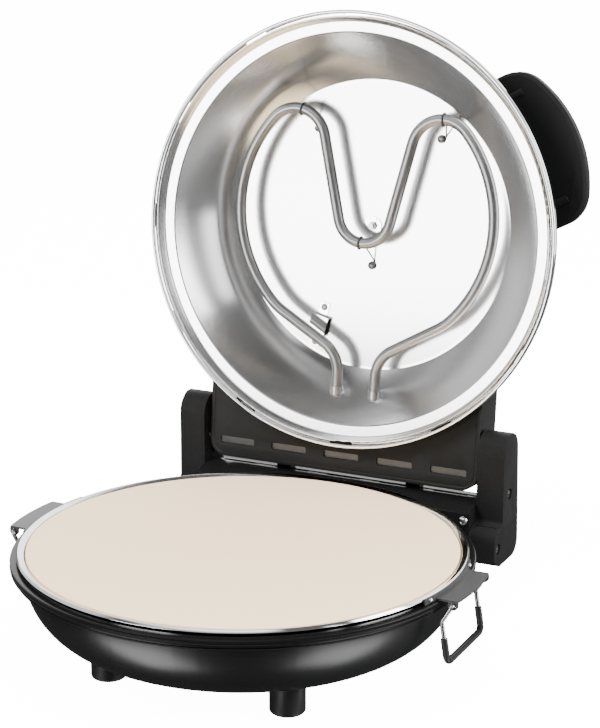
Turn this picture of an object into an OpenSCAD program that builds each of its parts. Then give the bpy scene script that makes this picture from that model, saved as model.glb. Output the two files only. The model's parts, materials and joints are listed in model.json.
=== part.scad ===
// Electric pizza maker: a round baking stone in a lift-out pan, a bowl-shaped base and a deep hinged lid.
// The lid is drawn standing open. The floor is z = 0, +X is the user's right and the hinge is at +Y.

/* [Baking stone] */
// Diameter of the stone
stone_d = 310; // [300:1:320]
// Thickness of the stone
stone_t = 10; // [9:0.5:14]
// Chamfer on the stone's top edge
stone_edge = 0.8; // [0.4:0.1:2]

/* [Stone pan] */
// Sheet thickness of the pan
pan_t = 0.8; // [0.6:0.1:1.2]
// Room between the stone and the upright wall of the pan
pan_room = 0.6; // [0.3:0.1:1.5]
// How far the pan's wall leans outwards up to its lip
pan_flare = 5.2; // [4.6:0.1:6]
// How far the lip stands above the stone
pan_lip_rise = 1.05; // [0.5:0.05:2]

/* [Base bowl] */
// How far the bowl's rim lies inside the pan's lip
bowl_inset = 4.8; // [1:0.1:5.5]
// Radius of the bowl's rounded flank
bowl_corner = 50.9; // [46:0.1:56]
// Sheet thickness of the bowl
sheet_t = 1; // [0.8:0.1:1.2]
// Height of the black band round the rim
band_h = 6.6; // [6:0.1:8]
// How far the band reaches past the pan's lip
band_reach = 4.7; // [4:0.1:6]
// Wall of the band
band_t = 1.2; // [0.8:0.1:1.4]

/* [Feet] */
// Height of the feet
foot_h = 22.5; // [18:0.5:30]
// Diameter of the feet
foot_d = 25.5; // [20:0.5:30]
// How far the feet stand inside the edge of the bowl's flat bottom
foot_in = 4; // [3:0.5:20]
// Direction of the feet, from the side towards the front and the back
foot_angle = 46.6; // [40:0.1:52]

/* [Side brackets and bails] */
// Width of the bracket's plate along the rim
bracket_w = 60; // [50:0.5:66]
// Width of the bracket's screw strip along the rim
strip_w = 84; // [80:0.5:92]
// How far the bracket's plate reaches past the pan's lip
bracket_reach = 16.9; // [15:0.1:19]
// Sheet thickness of the bracket
bracket_t = 1.5; // [1.2:0.1:1.6]
// Wire diameter of the bails
wire_d = 3.2; // [2.6:0.1:3.4]
// Outer diameter of the bail's sleeve
sleeve_d = 5; // [4.4:0.1:5.6]
// Length of the bail below its pivot
bail_drop = 41.1; // [36:0.1:46]
// How far the bail's bends lie inwards of its pivot
bail_bend = 7.1; // [4:0.1:8]

/* [Lid] */
// How far the lid's rim reaches past the pan's lip
lid_reach = 5.3; // [5:0.1:6.5]
// Height of the lid above its rim
lid_h = 74; // [72:0.5:80]
// Radius of the lid's rounded flank
lid_corner = 80; // [76:0.5:84]
// Sheet thickness of the lid's outer dome
dome_t = 1; // [0.8:0.1:1.2]
// Sheet thickness of the lid's reflector
reflector_t = 0.8; // [0.6:0.1:1]
// How far the step inside the reflector lies in from the rim
step_in = 11.6; // [9:0.1:14]
// Height of that step above the rim
step_h = 7.4; // [6:0.1:9]
// How far the reflector's wall runs inwards to its floor
wall_run = 35.7; // [30:0.1:40]
// Height of the reflector's floor above the rim
floor_h = 52.5; // [48:0.5:58]
// Number of vent slots in the rim
rim_slots = 12; // [6:1:18]

/* [Upper heating element] */
// Tube diameter of both heating elements
tube_d = 8.5; // [8:0.1:9]
// Height of the element above the lid's rim
element_h = 34; // [30:0.5:36]
// How far its outer run lies inside the reflector's floor
element_in = 8.5; // [6:0.5:16]
// Radius of the two lobes
lobe_r = 25; // [22:0.5:26]
// Radius of the bend at the middle
dip_r = 22; // [20:0.5:24]
// Half the distance between the terminals
terminal_x = 16; // [14:0.5:20]

/* [Hinge] */
// How far the lid opens
lid_open = 96; // [90:1:100]
// How far the pivot stands behind the closed lid's rim
hinge_back = 7.9; // [7.5:0.1:12]
// Height of the pivot above the closed lid's rim
hinge_h = 15.7; // [15.4:0.1:17]
// Diameter of the hinge pins
pin_d = 5; // [4:0.5:5]
// Half the width of the hinge housing
hinge_w = 113.2; // [108:0.2:116]
// Gap between the hinge housing and the arms
arm_gap = 2; // [1:0.5:3]
// Thickness of each arm
arm_w = 21.5; // [18:0.5:26]
// How far the arms stand above the pivot
arm_over = 33.6; // [31:0.1:40]

/* [Lid handle] */
// Direction of the handle, from the front towards the right
handle_angle = 62; // [0:0.1:70]
// Half the width of the handle
handle_w = 60.5; // [52:0.5:66]
// How far the handle reaches past the lid's rim
handle_reach = 19.3; // [14:0.1:24]
// Radius of the handle's outer edge
handle_arc = 98; // [90:1:120]
// Thickness of the handle
handle_t = 12; // [9:0.5:14]

/* [Vents] */
// Number of slots in each row
vent_n = 5; // [3:1:5]
// From the housing's side to the middle of the last slot
vent_side = 23.8; // [22:0.1:34]
// Length of each slot
vent_l = 29.4; // [20:0.1:32]
// Height of the slots in the lid's panel
vent_h = 6.7; // [4:0.1:8]

/* [Hidden] */
$fn = 64;

// Clearances
seat = 0.3;       // between a piece and a curved seat
slip = 0.05;      // round a fixed shank or a sleeve
run = 0.08;       // round a pin that turns
eps = 0.01;       // overrun of a cut
weld_lap = 0.15;  // how far a bend is let into the straight beside it
weld_step = 0.02; // how much thinner a bend is, so that the two fuse cleanly

// The stone's axis stands in front of the middle of the whole footprint
cook_y = -47;

// Heights in the base
bowl_z0 = foot_h;
bowl_z1 = bowl_z0 + bowl_corner;
flange_z = bowl_z1 + sheet_t;
band_z = flange_z + band_h;
pan_z = flange_z + slip;
stone_z0 = pan_z + pan_t;
stone_z1 = stone_z0 + stone_t;
lip_z = stone_z1 + pan_lip_rise;

// Radii in the base
stone_r = stone_d / 2;
well_r = stone_r + pan_room;
lip_bead = 0.8;
lip_r = well_r + pan_flare + lip_bead;
bowl_r = lip_r - bowl_inset;
bowl_flat_r = bowl_r - bowl_corner;
foot_x = (bowl_flat_r - foot_in) * cos(foot_angle);
foot_y = (bowl_flat_r - foot_in) * sin(foot_angle);
band_r = lip_r + band_reach;
band_in_r = lip_r - 2.7;
band_skirt = 5.5;
bowl_flange_r = band_r - band_t - 0.5;

function flank_r(z, inset = 0) = bowl_flat_r + sqrt(pow(bowl_corner - inset, 2) - pow(bowl_z1 - z, 2));

// The lower element and its reflector
element_z = bowl_z1 - 15.4;
dish_z = bowl_z1 - 4.8;
dish_corner = 26;
dish_flat_r = bowl_flat_r + 14.1;
dish_floor = dish_z - dish_corner;
loop_r = dish_flat_r - 28;
lower_leg_x = 14;
leg_bend = 12;
tube_r = tube_d / 2;
bush_r = tube_r + 2.25;
bush_l = 18;

// Lid heights are measured from the plane of its rim
lid_r = lip_r + lid_reach;
hinge_y = lid_r + hinge_back;
rim_z = lip_z + 0.4;
hinge_z = rim_z + hinge_h;
bead_r = 1.4;
ring_t = 1.2;
step_bead = 0.7;
step_bead_r = lip_r;
channel_h = 4.2;
dome_r = lip_r;
dome_z = channel_h + ring_t;
crown_z = lid_h - 3;
crown_r = dome_r - lid_corner;
crown_edge = 12;

// The reflector
step_r = lip_r - step_in;
floor_r = step_r - wall_run;

function wall_r(z) = step_r - wall_run * (z - step_h) / (floor_h - step_h);
function dome_flank(z, inset = 0) = crown_r + sqrt(pow(lid_corner - inset, 2) - pow(z - crown_z + lid_corner, 2));

// The hinge housing, measured in the closed lid
housing_y0 = lid_r / 2;
housing_y1 = hinge_y + 14.35;
housing_z0 = hinge_h - 4.2;
housing_z1 = housing_z0 + 33;
housing_corner = 14;
housing_t = 3;
panel_inset = 3;
panel_t = 1.5;
plate_t = 1.2;
vent_y = hinge_y + 1;
vent_corner = 1.5;
vent_pitch = 2 * (hinge_w - vent_side) / (vent_n - 1);

// The rear housing of the base
rear_y0 = hinge_y - 24.8;
rear_y1 = hinge_y + 21.2;
rear_z0 = band_z - 43;
rear_top = band_z + 2;
rear_crown = 60;
rear_crown_y = hinge_y;
rear_t = 2.5;
rear_vent_y = hinge_y + 2.2;
rear_vent_h = 3;
rear_w = hinge_w + arm_gap - 0.2;
rear_screw = [rear_w - 5, band_z - 9];
cover_t = 2;
cover_room = 0.2;
cover_slot = 3;
gland_x = 70;
gland_z = rear_z0 + 18;
gland_r = 6;
block_w = 48;
block_l = 20;
block_over = 6;

// Hinge arms
arm_x = hinge_w + arm_gap;
arm_top = hinge_z + arm_over;
arm_y0 = hinge_y - 10.8;
arm_y1 = hinge_y + 19.8;
arm_foot_y0 = hinge_y - 27.5;
arm_foot_y1 = hinge_y + 23.2;
arm_z0 = band_z - 44.7;
arm_step_z = band_z - 14;
arm_wall = 2.5;
arm_plate_t = 2;
arm_round = (arm_y1 - arm_y0) / 2;
arm_screw_at = [[hinge_y + 3.2, band_z + 7.5], [hinge_y - 19.2, band_z - 29.6]];
pin_l = 13.7;
pin_in = 3.3;

// Side brackets and bails
strip_z = lip_z - 0.8;
strip_r = lip_r + 0.05;
strip_angle = asin(strip_w / 2 / strip_r);
screw_angle = asin((bracket_w + strip_w) / 4 / strip_r);
plate_z = band_z + seat;
ear_y = bracket_w / 2;
bail_y = ear_y + 2.2;
pivot_x = lip_r + 11.1;
pivot_z = plate_z - 2;
ear_r = 3.6;

element_r = floor_r - element_in;

// Upper element: a circle, two lobes and a dip, all tangent, drawn with +V to the front of the lid
ring_v = 10;
lobe_v = 63;
lobe_x = sqrt(pow(element_r - lobe_r, 2) - pow(lobe_v - ring_v, 2));
lobe_a = atan2(lobe_v - ring_v, lobe_x);
dip_v = ring_v;
tangent_a = lobe_a + 180 - acos((lobe_r + dip_r) / norm([lobe_x, lobe_v - dip_v]));
shoulder_r = 50;
shoulder_a0 = -60;
shoulder_a1 = -44;
shoulder_c = [(element_r - shoulder_r) * cos(shoulder_a1), ring_v + (element_r - shoulder_r) * sin(shoulder_a1)];
leg_r = 25;
shoulder_end = shoulder_c + shoulder_r * [cos(shoulder_a0), sin(shoulder_a0)];
leg_c = [terminal_x + leg_r,
    shoulder_end[1] - (shoulder_end[0] - terminal_x - leg_r * (1 + sin(-shoulder_a0 - 90)))
        * tan(90 + shoulder_a0) - leg_r * cos(90 + shoulder_a0)];
terminal_v = wall_r(element_h) + 10.4;
collar_r = tube_r + 0.8;

// Each clip: where it grips the tube, the turn of the tube there and where its screw stands
clip_wire = 1.2;
clip_at = [
    [[5 - lobe_x, lobe_v + sqrt(pow(lobe_r, 2) - 25)], -11, [11 - lobe_x, lobe_v + lobe_r - 16]],
    [[lobe_x, lobe_v + lobe_r], 0, [lobe_x - 8, lobe_v + lobe_r - 16.4]],
    [[-2.3, dip_v - dip_r + 0.1], -6, [1, dip_v - dip_r - 19]],
];

// The folded bracket near the terminals
tb_at = [-0.359, -0.719] * floor_r;
tb_turn = -14;
tb_reach = 14.5;

// Lid handle
handle_r = lid_r + handle_reach;
handle_z = 35;
handle_corner = 26;
handle_in = 0.73 * lid_r;
post_r = 3.5;
post_z = handle_z + 2;
post_u = handle_w - 17.5;
post_from = 0.6 * lid_r;
post_w = lid_r - 6.2;

// Round bar from p to q
module rod(p, q, r) {
    d = q - p;
    translate(p)
        rotate([0, acos(d[2] / norm(d)), atan2(d[1], d[0])])
            cylinder(h = norm(d), r = r);
}

// How much of a straight run a bend takes away
function bend_cut(a, b, c, r) = r * tan(acos(min(1, ((b - a) * (c - b)) / (norm(b - a) * norm(c - b)))) / 2);

// Round bar along points, each inner point rounded by its bend radius
module bent_rod(pts, bends, r) {
    n = len(pts);
    cuts = [for (i = [0:n - 1]) i == 0 || i == n - 1 ? 0 : bend_cut(pts[i - 1], pts[i], pts[i + 1], bends[i])];
    for (i = [0:n - 2]) {
        u = (pts[i + 1] - pts[i]) / norm(pts[i + 1] - pts[i]);
        rod(pts[i] + u * cuts[i], pts[i + 1] - u * cuts[i + 1], r);
    }
    for (i = [1:n - 2]) {
        u = (pts[i] - pts[i - 1]) / norm(pts[i] - pts[i - 1]);
        w = (pts[i + 1] - pts[i]) / norm(pts[i + 1] - pts[i]);
        turn = acos(u * w);
        axis = cross(u, w) / norm(cross(u, w));
        side = cross(axis, u);
        c = pts[i] - u * cuts[i] + side * bends[i];
        multmatrix([
            [-side[0], u[0], axis[0], c[0]],
            [-side[1], u[1], axis[1], c[1]],
            [-side[2], u[2], axis[2], c[2]],
            [0, 0, 0, 1],
        ])
            arc_bend([0, 0], bends[i], 0, turn, r);
    }
}

// Flat arc of tube about c, from angle a0 to a1
module arc_tube(c, r, a0, a1, tube) {
    translate([c[0], c[1], 0])
        rotate([0, 0, a0])
            rotate_extrude(angle = a1 - a0)
                translate([r, 0])
                    circle(tube);
}

// The same for a bend between two runs: a hair thinner, and let a little way into both
module arc_bend(c, r, a0, a1, tube) {
    lap = asin(weld_lap / r);
    arc_tube(c, r, a0 - lap, a1 + lap, tube - weld_step);
}

// Round-ended slot across Y, cut along Z
module slot(l, w, h) {
    linear_extrude(h) {
        square([l - w, w], center = true);
        for (s = [-1, 1])
            translate([s * (l - w) / 2, 0])
                circle(w / 2);
    }
}

// The same with small round corners
module rounded_slot(l, w, corner, h) {
    linear_extrude(h) {
        square([l - 2 * corner, w], center = true);
        square([l, w - 2 * corner], center = true);
        for (x = [-1, 1], y = [-1, 1])
            translate([x * (l / 2 - corner), y * (w / 2 - corner)])
                circle(corner);
    }
}

// Pan-head screw standing on z = 0 with its shank below, and a cross cut in its head
module pan_screw(head_d, shank_d, l, cut = true) {
    head_h = head_d * 0.36;
    dome_sphere = (pow(head_d / 2, 2) + pow(head_h, 2)) / (2 * head_h);
    difference() {
        union() {
            intersection() {
                cylinder(h = head_h, d = head_d);
                translate([0, 0, head_h - dome_sphere])
                    sphere(dome_sphere);
            }
            translate([0, 0, -l])
                cylinder(h = l, d = shank_d);
        }
        if (cut)
            for (a = [0, 90])
                rotate([0, 0, a])
                    translate([0, 0, head_h])
                        cube([head_d * 0.55, head_d * 0.14, head_h * 1.1], center = true);
    }
}

// Places
module on_axis() {
    translate([0, cook_y, 0])
        children();
}

module closed_lid() {
    translate([0, 0, rim_z])
        children();
}

module in_lid() {
    on_axis()
        translate([0, hinge_y, hinge_z])
            rotate([-lid_open, 0, 0])
                translate([0, -hinge_y, -hinge_z])
                    closed_lid()
                        children();
}

// Turns the element's own drawing plane, +V to the front, into the lid's frame
module front_up(z) {
    translate([0, 0, z])
        mirror([0, 1, 0])
            children();
}

// Base

module bowl_solid(grow) {
    translate([bowl_flat_r, bowl_z1])
        intersection() {
            circle(bowl_corner + grow);
            translate([0, -bowl_corner - grow])
                square(bowl_corner + grow);
        }
    translate([0, bowl_z0 - grow])
        square([bowl_flat_r, bowl_corner + grow]);
}

module at_feet() {
    for (x = [-1, 1], y = [-1, 1])
        translate([x * foot_x, y * foot_y, 0])
            children();
}

// Room for the lower element's legs and their bushings
module lower_leg_bores() {
    for (s = [-1, 1])
        translate([s * lower_leg_x, loop_r, element_z])
            rotate([-90, 0, 0])
                cylinder(h = bowl_r + 3 - loop_r, r = bush_r + slip);
}

module base_bowl() {
    color("#1b1b1c")
    on_axis()
        difference() {
            rotate_extrude() {
                difference() {
                    bowl_solid(0);
                    bowl_solid(-sheet_t);
                }
                translate([bowl_r - sheet_t, bowl_z1])
                    square([bowl_flange_r - bowl_r + sheet_t, sheet_t]);
            }
            at_feet()
                cylinder(h = 2 * foot_h, d = 4.4);
            for (a = [0:45:315])
                rotate([0, 0, a])
                    translate([42, 0, bowl_z0 - eps])
                        slot(26, 4, sheet_t + 2 * eps);
            lower_leg_bores();
        }
}

module rim_band() {
    color("#0d0d0e")
    on_axis()
        rotate_extrude() {
            translate([band_in_r, flange_z])
                square([band_t, band_h]);
            translate([band_in_r, band_z - band_t])
                square([band_r - band_in_r - band_t, band_t]);
            translate([band_r - band_t, band_z - band_skirt])
                square([band_t, band_skirt - band_t]);
            translate([band_r - band_t, band_z - band_t])
                intersection() {
                    circle(band_t);
                    square(band_t);
                }
        }
}

module dish_profile(grow) {
    translate([dish_flat_r, dish_z])
        intersection() {
            circle(dish_corner + grow);
            translate([0, -dish_corner - grow])
                square(dish_corner + grow);
        }
    translate([0, dish_floor - grow])
        square([dish_flat_r, dish_corner + grow]);
}

module base_reflector() {
    color("#b9bcbe")
    on_axis()
        difference() {
            rotate_extrude() {
                difference() {
                    dish_profile(0);
                    dish_profile(-reflector_t);
                }
                translate([dish_flat_r + dish_corner - reflector_t, dish_z])
                    square([flank_r(dish_z, sheet_t) - seat - dish_flat_r - dish_corner + reflector_t, reflector_t]);
            }
            lower_leg_bores();
            translate([0, 0, dish_floor - eps])
                cylinder(h = reflector_t + 2 * eps, d = 4.2);
        }
}

lower_gap = asin((lower_leg_x + leg_bend) / (loop_r + leg_bend));

module lower_element() {
    bend_y = (loop_r + leg_bend) * cos(lower_gap);
    color("#6f7072")
    on_axis()
        translate([0, 0, element_z]) {
            arc_tube([0, 0], loop_r, 90 + lower_gap, 450 - lower_gap, tube_r);
            for (s = [0, 1])
                mirror([s, 0, 0]) {
                    arc_bend([lower_leg_x + leg_bend, bend_y], leg_bend, 180, 270 - lower_gap, tube_r);
                    rod([lower_leg_x, bend_y, 0], [lower_leg_x, bowl_r + 3.2, 0], tube_r);
                }
        }
}

module lower_element_clips() {
    saddle = tube_r + slip;
    color("#9b9da0")
    on_axis()
        for (a = [30, 150, 270])
            rotate([0, 0, a])
                translate([loop_r, 0, 0])
                    rotate([90, 0, 0])
                        translate([0, 0, -4])
                            linear_extrude(8)
                                difference() {
                                    union() {
                                        translate([0, element_z])
                                            circle(saddle + 1.2);
                                        translate([-1.2, dish_floor + reflector_t])
                                            square([2.4, element_z - dish_floor - reflector_t - saddle]);
                                        translate([-7, dish_floor + reflector_t])
                                            square([14, 1.2]);
                                    }
                                    translate([0, element_z])
                                        circle(saddle);
                                }
}

module lower_terminal_bushings() {
    color("#e8e4da")
    on_axis()
        for (s = [-1, 1])
            translate([s * lower_leg_x, bowl_r - bush_l, element_z])
                rotate([-90, 0, 0])
                    difference() {
                        cylinder(h = bush_l, r = bush_r);
                        translate([0, 0, -eps])
                            cylinder(h = bush_l + 1, r = tube_r + slip);
                    }
}

module base_thermostat() {
    color("#4b4b4d")
    on_axis()
        translate([0, 0, dish_floor]) {
            translate([0, 0, -7])
                cylinder(h = 7, d = 16);
            translate([-9, -3, -11])
                cube([18, 6, 4]);
            translate([0, 0, -eps])
                cylinder(h = 2, d = 4);
        }
}

module feet() {
    color("#111111")
    on_axis()
        at_feet()
            difference() {
                rotate_extrude() {
                    translate([0, 3])
                        square([foot_d / 2, foot_h - 3]);
                    square([foot_d / 2 - 3, 3]);
                    translate([foot_d / 2 - 3, 3])
                        circle(3);
                }
                translate([0, 0, -eps])
                    cylinder(h = foot_h - 6, d = 9);
                cylinder(h = foot_h + 1, d = 4.4);
            }
}

module foot_screws() {
    color("#9b9da0")
    on_axis()
        at_feet()
            translate([0, 0, foot_h - 6 - eps])
                mirror([0, 0, 1])
                    pan_screw(8, 4, 10, false);
}

// Rear housing of the base

module rear_profile(inset) {
    intersection() {
        translate([rear_crown_y, rear_top - rear_crown])
            circle(rear_crown - inset);
        translate([rear_y0 + inset, rear_z0])
            square([rear_y1 - rear_y0 - 2 * inset, rear_crown]);
    }
}

// Room that the bowl and the band take, and a wall's thickness more
module base_envelope(grow) {
    rotate_extrude()
        bowl_solid(seat + grow);
    translate([0, 0, bowl_z1 - eps])
        cylinder(h = 30, r = band_r + seat + grow);
}

module across(w) {
    rotate([90, 0, 90])
        translate([0, 0, -w])
            linear_extrude(2 * w)
                children();
}

module rear_housing() {
    color("#101011")
    on_axis()
        difference() {
            across(rear_w)
                rear_profile(0);
            difference() {
                across(rear_w - rear_t)
                    translate([0, -eps])
                        rear_profile(rear_t);
                base_envelope(rear_t);
            }
            base_envelope(0);
            for (i = [0:vent_n - 1])
                translate([(i - (vent_n - 1) / 2) * vent_pitch, rear_vent_y, rear_top - 10])
                    slot(vent_l, rear_vent_h, 20);
            lower_leg_bores();
            translate([gland_x, rear_y1 - 2 * rear_t, gland_z])
                rotate([-90, 0, 0])
                    cylinder(h = 10, r = gland_r);
            for (s = [-1, 1])
                translate([s * rear_screw[0], rear_y0 - 1, rear_screw[1]])
                    rotate([-90, 0, 0])
                        cylinder(h = 5, d = 4.2);
        }
}

module rear_housing_cover() {
    color("#151516")
    on_axis()
        difference() {
            translate([-rear_w + rear_t + cover_room, rear_y0 + rear_t + cover_room, rear_z0])
                cube([2 * (rear_w - rear_t - cover_room), rear_y1 - rear_y0 - 2 * (rear_t + cover_room), cover_t]);
            for (i = [-8:8])
                translate([i * rear_w / 11.5, (rear_y0 + rear_y1) / 2, rear_z0 - eps])
                    rotate([0, 0, 90])
                        slot(block_l, cover_slot, cover_t + 1);
        }
}

module terminal_block() {
    color("#d9d5c8")
    on_axis()
        difference() {
            translate([-block_w / 2, bowl_r + 5.2, rear_z0 + cover_t])
                cube([block_w, block_l, element_z - rear_z0 - cover_t + block_over]);
            for (s = [-1, 1])
                translate([s * lower_leg_x, bowl_r, element_z])
                    rotate([-90, 0, 0])
                        cylinder(h = 2 * block_l, r = tube_r + 0.25);
        }
}

module cord_gland() {
    color("#161617")
    on_axis()
        translate([gland_x, rear_y1, gland_z])
            rotate([-90, 0, 0])
                difference() {
                    union() {
                        translate([0, 0, -rear_t - 2])
                            cylinder(h = rear_t + 2, r = gland_r - slip);
                        cylinder(h = 3, r = gland_r + 2.5);
                        translate([0, 0, 3])
                            cylinder(h = 4, r1 = gland_r + 1, r2 = gland_r);
                    }
                    translate([0, 0, -10])
                        cylinder(h = 20, d = 7.5);
                }
}

module housing_screws() {
    color("#d0d2d4")
    on_axis()
        for (s = [-1, 1])
            translate([s * rear_screw[0], rear_y0, rear_screw[1]])
                rotate([90, 0, 0])
                    pan_screw(7.5, 4, 6);
}

// Hinge arms

module arm_profile(inset) {
    foot_round = 10 - inset;
    heel_round = 12 - inset;
    // the round top and the column under it
    translate([arm_y0 + arm_round, arm_top - arm_round])
        circle(arm_round - inset);
    polygon([
        [arm_y0 + inset, arm_top - arm_round],
        [arm_y0 + inset, arm_step_z - 5],
        [arm_foot_y1 - inset, arm_z0 + 12],
        [arm_y1 - inset, arm_top - arm_round],
    ]);
    // the foot that reaches forwards under the bowl's rim
    translate([arm_foot_y0 + 10, arm_step_z - 10])
        circle(foot_round);
    translate([arm_foot_y1 - 12, arm_z0 + 12])
        circle(heel_round);
    polygon([
        [arm_foot_y0 + 10, arm_step_z - inset],
        [arm_foot_y0 + inset, arm_step_z - 10],
        [arm_foot_y0 + inset, arm_z0 + 7 + inset / 2],
        [arm_foot_y0 + 12 + inset / 2, arm_z0 + inset],
        [arm_foot_y1 - 12, arm_z0 + inset],
        [arm_foot_y1 - inset, arm_z0 + 12],
        [arm_foot_y1 - 4, arm_step_z - inset],
    ]);
    // the hollow fillet between column and foot
    difference() {
        translate([arm_y0 - 4 - inset, arm_step_z - inset - eps])
            square([4 + 2 * inset + eps, 4 + eps]);
        translate([arm_y0 - 4 + inset, arm_step_z + 4 - inset])
            circle(4);
    }
}

module arm_screw_holes(d, h) {
    for (p = arm_screw_at)
        translate([p[0], p[1], -eps])
            cylinder(h = h, d = d);
}

// Draws upright profiles of the right arm: local z runs outwards from its inner face
module in_right_arm(from) {
    translate([arm_x + from, 0, 0])
        rotate([90, 0, 90])
            children();
}

module arm_shell() {
    on_axis()
        in_right_arm(0)
            difference() {
                translate([0, 0, arm_plate_t])
                    linear_extrude(arm_w - arm_plate_t)
                        arm_profile(0);
                difference() {
                    translate([0, 0, -eps])
                        linear_extrude(arm_w - arm_wall)
                            arm_profile(arm_wall);
                    // bosses for the pin and the screws
                    translate([hinge_y, hinge_z, 0])
                        cylinder(h = arm_w, d = 12);
                    for (p = arm_screw_at)
                        translate([p[0], p[1], 0])
                            cylinder(h = arm_w, d = 10);
                }
                translate([hinge_y, hinge_z, -eps])
                    cylinder(h = pin_l - pin_in - arm_gap + eps, d = pin_d + 2 * slip);
                arm_screw_holes(4, arm_w - 1);
                translate([0, 0, arm_w - 2.5])
                    arm_screw_holes(8.6, 3);
            }
}

module arm_plate() {
    on_axis()
        in_right_arm(0)
            difference() {
                linear_extrude(arm_plate_t)
                    arm_profile(0);
                translate([hinge_y, hinge_z, -eps])
                    cylinder(h = arm_plate_t + 1, d = pin_d + 2 * slip);
                arm_screw_holes(4, arm_plate_t + 1);
            }
}

module left_hinge_arm() {
    color("#1c1c1d")
    mirror([1, 0, 0])
        arm_shell();
}

module right_hinge_arm() {
    color("#1c1c1d")
    arm_shell();
}

module left_arm_plate() {
    color("#1a1a1b")
    mirror([1, 0, 0])
        arm_plate();
}

module right_arm_plate() {
    color("#1a1a1b")
    arm_plate();
}

module arm_screws() {
    color("#3a3a3c")
    on_axis()
        for (s = [0, 1])
            mirror([s, 0, 0])
                in_right_arm(arm_w - 2.5)
                    for (p = arm_screw_at)
                        translate([p[0], p[1], 0])
                            pan_screw(7.4, 3.9, arm_w - 3.5);
}

module hinge_pins() {
    color("#c8cacc")
    on_axis()
        for (s = [0, 1])
            mirror([s, 0, 0])
                translate([hinge_w - pin_in, hinge_y, hinge_z])
                    rotate([0, 90, 0])
                        cylinder(h = pin_l, d = pin_d);
}

module lid_stops() {
    pad_x = hinge_w / 2 - 1.6;
    pad_y0 = hinge_y + 9.2;
    pad_l = 9;
    pad_w = 12;
    color("#0c0c0c")
    on_axis()
        for (s = [-1, 1])
            difference() {
                translate([s * pad_x - pad_w / 2, pad_y0, rear_top - 6])
                    cube([pad_w, pad_l, 14]);
                // the crown that it sits on
                translate([s * pad_x, rear_crown_y, rear_top - rear_crown])
                    rotate([0, 90, 0])
                        cylinder(h = 2 * pad_w, r = rear_crown, center = true);
                // the plane of the open lid's housing
                translate([0, hinge_y, hinge_z])
                    rotate([-lid_open, 0, 0])
                        translate([-hinge_w, housing_y1 - hinge_y + seat - hinge_w, -hinge_w / 2])
                            cube([2 * hinge_w, hinge_w, hinge_w]);
            }
}

// Pan, stone and side handles

module stone_pan() {
    lip_c = [well_r + pan_flare, lip_z - lip_bead];
    flare_z = band_z - 2.5;
    color("#c9ccce")
    on_axis()
        rotate_extrude() {
            translate([0, pan_z])
                square([well_r + pan_t, pan_t]);
            polygon([
                [well_r, pan_z],
                [well_r + pan_t, pan_z],
                [well_r + pan_t, flare_z],
                [lip_c[0] + 0.2, lip_c[1]],
                [lip_c[0] - lip_bead, lip_c[1]],
                [well_r, flare_z],
            ]);
            translate(lip_c)
                circle(lip_bead);
            translate([lip_r - 1, band_z])
                square([1, lip_c[1] - band_z]);
        }
}

module baking_stone() {
    color("#e1d9ce")
    on_axis()
        translate([0, 0, stone_z0]) {
            cylinder(h = stone_t - stone_edge, r = stone_r);
            translate([0, 0, stone_t - stone_edge])
                cylinder(h = stone_edge, r1 = stone_r, r2 = stone_r - stone_edge);
        }
}

// Part of a ring between plus and minus an angle about +X
module sector(r0, r1, z0, z1, a) {
    translate([0, 0, z0])
        rotate([0, 0, -a])
            rotate_extrude(angle = 2 * a)
                translate([r0, 0])
                    square([r1 - r0, z1 - z0]);
}

module right_bracket() {
    on_axis()
        difference() {
            union() {
                sector(strip_r, strip_r + bracket_t, plate_z, strip_z, strip_angle);
                intersection() {
                    sector(strip_r, lip_r + bracket_reach, plate_z, plate_z + bracket_t, 1.5 * strip_angle);
                    translate([0, -ear_y, 0])
                        cube([lip_r + 2 * bracket_reach, 2 * ear_y, 2 * plate_z]);
                }
                for (s = [0, 1])
                    mirror([0, s, 0])
                        translate([0, ear_y - bracket_t, 0])
                            rotate([90, 0, 0])
                                mirror([0, 0, 1])
                                    linear_extrude(bracket_t) {
                                        translate([pivot_x, pivot_z])
                                            circle(ear_r);
                                        translate([pivot_x - ear_r, pivot_z])
                                            square([2 * ear_r, plate_z - pivot_z + eps]);
                                    }
            }
            translate([pivot_x, 0, pivot_z])
                rotate([90, 0, 0])
                    cylinder(h = 3 * ear_y, d = wire_d + 0.3, center = true);
            for (s = [-1, 1])
                rotate([0, 0, s * screw_angle])
                    translate([strip_r - 1, 0, plate_z + 1.8])
                        rotate([0, 90, 0])
                            cylinder(h = 5, d = 2.4);
        }
}

module right_bail_bracket() {
    color("#3c3d3f")
    right_bracket();
}

module left_bail_bracket() {
    color("#3c3d3f")
    mirror([1, 0, 0])
        right_bracket();
}

module bracket_screws() {
    color("#d6d8da")
    on_axis()
        for (t = [0, 180], s = [-1, 1])
            rotate([0, 0, t + s * screw_angle])
                translate([strip_r + bracket_t, 0, plate_z + 1.8])
                    rotate([0, 90, 0])
                        pan_screw(3.6, 2.3, bracket_t);
}

bail_kink = [pivot_x - bail_bend, pivot_z - 11.9];
bail_corner = [pivot_x - 2.5, pivot_z - bail_drop];
sleeve_from = 0.41;

function bail_leg(s) = [[bail_kink[0], s * bail_y, bail_kink[1]], [bail_corner[0], s * bail_y, bail_corner[1]]];
function bail_points() = concat(
    [[pivot_x, -ear_y + 3.6, pivot_z], [pivot_x, -bail_y, pivot_z]],
    bail_leg(-1),
    [bail_leg(1)[1], bail_leg(1)[0]],
    [[pivot_x, bail_y, pivot_z], [pivot_x, ear_y - 3.6, pivot_z]]);
function sleeve_points(from) = let (l = bail_leg(-1), r = bail_leg(1))
    [l[0] + (l[1] - l[0]) * from, l[1], r[1], r[0] + (r[1] - r[0]) * from];

module bail_wire() {
    on_axis()
        bent_rod(bail_points(), [0, 2, 5, 5.5, 5.5, 5, 2, 0], wire_d / 2);
}

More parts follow.
